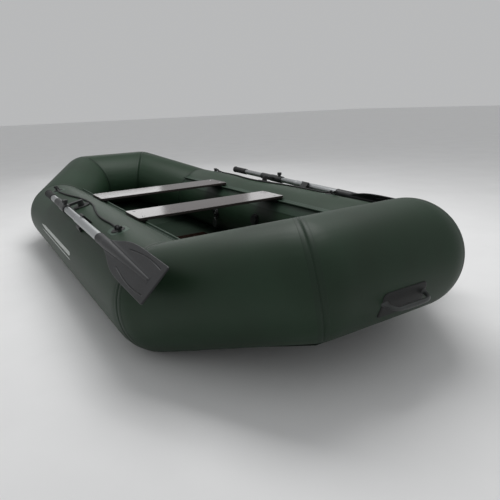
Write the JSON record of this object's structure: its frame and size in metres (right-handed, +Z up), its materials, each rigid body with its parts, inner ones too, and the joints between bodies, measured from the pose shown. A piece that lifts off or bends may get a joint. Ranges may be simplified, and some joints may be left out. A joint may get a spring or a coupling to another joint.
{
  "type": "inflatable rowing boat",
  "caption": "Inflatable rowing boat with raised bow and stern, sliding bench seats, slatted floor, and oars stowed along its tubes.",
  "frame": {"origin": "middle of the bottom sheet's underside, on the ground", "axes": "+X towards the bow (the end with the carry handle), +Y to port, +Z up"},
  "size_m": [2.8395, 1.2798, 0.4693],
  "materials": {
    "hull_pvc": "smooth coated fabric, dark green",
    "floor_pvc": "coated fabric",
    "plywood": "film-faced plywood, dark brown",
    "black_plastic": "moulded, fine texture",
    "blade_plastic": "moulded, satin",
    "alloy": "drawn and anodised",
    "rivet_steel": "plated",
    "black_rubber": "matt",
    "grip_rubber": "matt foam",
    "rope_black": "braided cord",
    "cap_black": "moulded",
    "stem_grey": "moulded"
  },
  "bodies": {
    "hull": {"side_tube_port": "hull_pvc", "side_tube_starboard": "hull_pvc", "bow_corner_port": "hull_pvc", "bow_corner_starboard": "hull_pvc", "stern_corner_port": "hull_pvc", "stern_corner_starboard": "hull_pvc", "bow_tube": "hull_pvc", "stern_tube": "hull_pvc", "chamber_bulkheads": "floor_pvc", "bottom_sheet": "floor_pvc", "floor_mat": "floor_pvc", "floor_slats": "plywood", "seat_rail_port": "hull_pvc", "seat_rail_starboard": "hull_pvc", "bow_handle_base": "black_rubber", "bow_handle_grip": "black_plastic", "rope_mounts": "black_rubber", "rope_port": "rope_black", "rope_starboard": "rope_black", "valve_body_bow": "black_plastic", "valve_nut_bow": "black_plastic", "valve_body_stern": "black_plastic", "valve_nut_stern": "black_plastic", "oarlock_base_port": "black_rubber", "oarlock_base_starboard": "black_rubber", "oar_rest_port": "black_plastic", "oar_rest_starboard": "black_plastic"},
    "bow_seat": {"bow_seat_board": "plywood", "bow_seat_runners": "black_plastic", "bow_seat_rivets": "rivet_steel"},
    "stern_seat": {"stern_seat_board": "plywood", "stern_seat_runners": "black_plastic", "stern_seat_rivets": "rivet_steel"},
    "valve_stem_bow": {"valve_stem_bow": "stem_grey"},
    "valve_cap_bow": {"valve_cap_bow": "cap_black"},
    "valve_stem_stern": {"valve_stem_stern": "stem_grey"},
    "valve_cap_stern": {"valve_cap_stern": "cap_black"},
    "oarlock_port": {"oarlock_swivel_port": "black_plastic"},
    "oarlock_knob_port": {"oarlock_knob_port": "black_plastic"},
    "oar_port": {"oar_shaft_port": "alloy", "oar_sleeve_port": "alloy", "oar_blade_port": "blade_plastic", "oar_grip_port": "grip_rubber", "oar_collar_port": "black_plastic"},
    "oar_button_port": {"oar_button_port": "rivet_steel"},
    "oarlock_starboard": {"oarlock_swivel_starboard": "black_plastic"},
    "oarlock_knob_starboard": {"oarlock_knob_starboard": "black_plastic"},
    "oar_starboard": {"oar_shaft_starboard": "alloy", "oar_sleeve_starboard": "alloy", "oar_blade_starboard": "blade_plastic", "oar_grip_starboard": "grip_rubber", "oar_collar_starboard": "black_plastic"},
    "oar_button_starboard": {"oar_button_starboard": "rivet_steel"}
  },
  "joints": [
    {"name": "bow_seat_slide", "type": "slide", "parent": "hull", "child": "bow_seat", "axis": [1, 0, 0], "range_m": [-0.15, 0.3]},
    {"name": "stern_seat_slide", "type": "slide", "parent": "hull", "child": "stern_seat", "axis": [1, 0, 0], "range_m": [-0.32, 0.15]},
    {"name": "valve_stem_bow_press", "type": "slide", "parent": "hull", "child": "valve_stem_bow", "axis": [0, -0.993, 0.1184], "range_m": [-0.004, 0], "stiffness_N_per_m": 400},
    {"name": "valve_cap_bow_hinge", "type": "hinge", "parent": "hull", "child": "valve_cap_bow", "pos_m": [0.187, 0.27564, 0.16766], "axis": [1, 0, 0], "range_deg": [0, 170]},
    {"name": "valve_stem_stern_press", "type": "slide", "parent": "hull", "child": "valve_stem_stern", "axis": [0, -0.9966, -0.0819], "range_m": [-0.004, 0], "stiffness_N_per_m": 400},
    {"name": "valve_cap_stern_hinge", "type": "hinge", "parent": "hull", "child": "valve_cap_stern", "pos_m": [-0.244, 0.28117, 0.13008], "axis": [1, 0, 0], "range_deg": [-170, 0]},
    {"name": "oarlock_port_swivel", "type": "hinge", "parent": "hull", "child": "oarlock_port", "pos_m": [-0.04, 0.50496, 0.34668], "axis": [0, 0.2284, 0.9736], "range_deg": [0, 120]},
    {"name": "oar_port_feather", "type": "hinge", "parent": "oarlock_port", "child": "oar_port", "pos_m": [-0.04, 0.58174, 0.35435], "axis": [-0.9997, 0, 0.0262], "range_deg": [-30, 12]},
    {"name": "oarlock_knob_port_turn", "type": "hinge", "parent": "oarlock_port", "child": "oarlock_knob_port", "pos_m": [0.00077, 0.58174, 0.38329], "axis": [0.0262, 0, 0.9997], "range_deg": [0, 180]},
    {"name": "oar_button_port_press", "type": "slide", "parent": "oar_port", "child": "oar_button_port", "axis": [0.0262, 0, 0.9997], "range_m": [-0.003, 0], "stiffness_N_per_m": 400},
    {"name": "oarlock_starboard_swivel", "type": "hinge", "parent": "hull", "child": "oarlock_starboard", "pos_m": [-0.04, -0.50496, 0.34668], "axis": [0, 0.2284, -0.9736], "range_deg": [0, 120]},
    {"name": "oar_starboard_feather", "type": "hinge", "parent": "oarlock_starboard", "child": "oar_starboard", "pos_m": [-0.04, -0.58174, 0.35435], "axis": [0.9997, 0, -0.0262], "range_deg": [-30, 12]},
    {"name": "oarlock_knob_starboard_turn", "type": "hinge", "parent": "oarlock_starboard", "child": "oarlock_knob_starboard", "pos_m": [0.00077, -0.58174, 0.38329], "axis": [0.0262, 0, 0.9997], "range_deg": [0, 180]},
    {"name": "oar_button_starboard_press", "type": "slide", "parent": "oar_starboard", "child": "oar_button_starboard", "axis": [0.0262, 0, 0.9997], "range_m": [-0.003, 0], "stiffness_N_per_m": 400}
  ]
}
